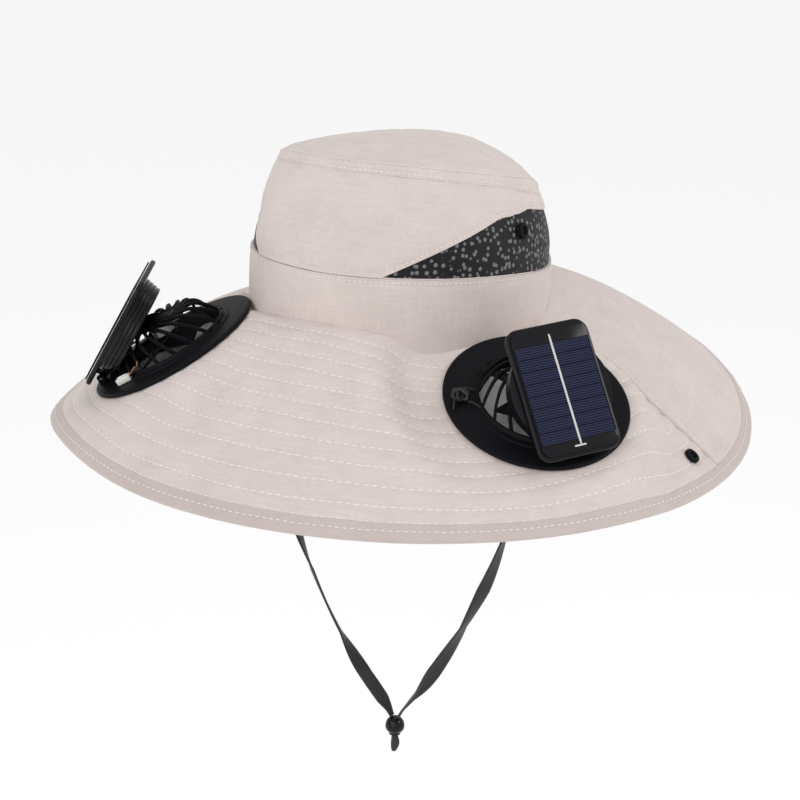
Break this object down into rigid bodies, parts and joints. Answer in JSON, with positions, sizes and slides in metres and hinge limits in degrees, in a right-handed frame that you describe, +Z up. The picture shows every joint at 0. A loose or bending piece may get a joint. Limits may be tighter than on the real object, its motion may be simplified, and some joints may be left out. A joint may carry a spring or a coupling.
{
  "type": "solar fan hat",
  "caption": "Wide-brimmed cloth sun hat with mesh crown vents, a caged fan in each side of the brim under a hinged solar lid, a neck flap and a chin strap with a sliding lock.",
  "frame": {"origin": "centre of the head opening, level with the brim's root at the front", "axes": "+Z up along the head, -Y front, +X the wearer's left, +Y the neck flap"},
  "size_m": [0.43, 0.4677, 0.4208],
  "materials": {
    "pale_cloth": "matt woven cloth, quilted in rows on the brim",
    "bound_edge": "matt woven tape",
    "black_mesh": "open net",
    "black_webbing": "flat woven",
    "gloss_black": "glossy moulding",
    "solar_cell": "clear coat over a dark cell",
    "steel": "satin",
    "white_plastic": "satin"
  },
  "bodies": {
    "hat": {"brim_back": "pale_cloth", "brim_binding": "bound_edge", "brim_front": "pale_cloth", "brim_snap_left": "gloss_black", "brim_snap_right": "gloss_black", "chin_strap_left": "black_webbing", "chin_strap_right": "black_webbing", "crown_side": "pale_cloth", "crown_snap_left": "gloss_black", "crown_snap_right": "gloss_black", "crown_top": "pale_cloth", "fan_guard_left": "gloss_black", "fan_guard_right": "gloss_black", "fan_housing_left": "gloss_black", "fan_housing_right": "gloss_black", "fan_motor_left": "steel", "fan_motor_right": "steel", "hat_band": "pale_cloth", "hinge_pin_left": "steel", "hinge_pin_right": "steel", "mesh_left": "black_mesh", "mesh_right": "black_mesh", "strap_end": "black_webbing", "strap_lock": "gloss_black", "wire_knot_left": "black_webbing", "wire_plug_left": "white_plastic", "wire_plug_right": "white_plastic"},
    "solar_lid_left": {"solar_lid_left": "gloss_black", "solar_cell_left": "solar_cell"},
    "solar_lid_right": {"solar_lid_right": "gloss_black", "solar_cell_right": "solar_cell"},
    "fan_rotor_left": {"fan_rotor_left": "gloss_black"},
    "fan_rotor_right": {"fan_rotor_right": "gloss_black"}
  },
  "joints": [
    {"name": "solar_tilt_left", "type": "hinge", "parent": "hat", "child": "solar_lid_left", "pos_m": [0.15937, -0.0975, -0.04686], "axis": [0.6117, 0.7859, 0.09], "range_deg": [-3, 50]},
    {"name": "solar_tilt_right", "type": "hinge", "parent": "hat", "child": "solar_lid_right", "pos_m": [-0.13876, -0.1192, -0.04791], "axis": [0.4146, -0.9059, -0.0858], "range_deg": [-3, 50]},
    {"name": "fan_spin_left", "type": "hinge", "parent": "hat", "child": "fan_rotor_left", "pos_m": [0.12384, -0.0715, -0.0324], "axis": [0.2861, -0.3259, 0.9011], "continuous": true},
    {"name": "fan_spin_right", "type": "hinge", "parent": "hat", "child": "fan_rotor_right", "pos_m": [-0.09934, -0.10287, -0.02984], "axis": [-0.4234, -0.2755, 0.863], "continuous": true}
  ]
}
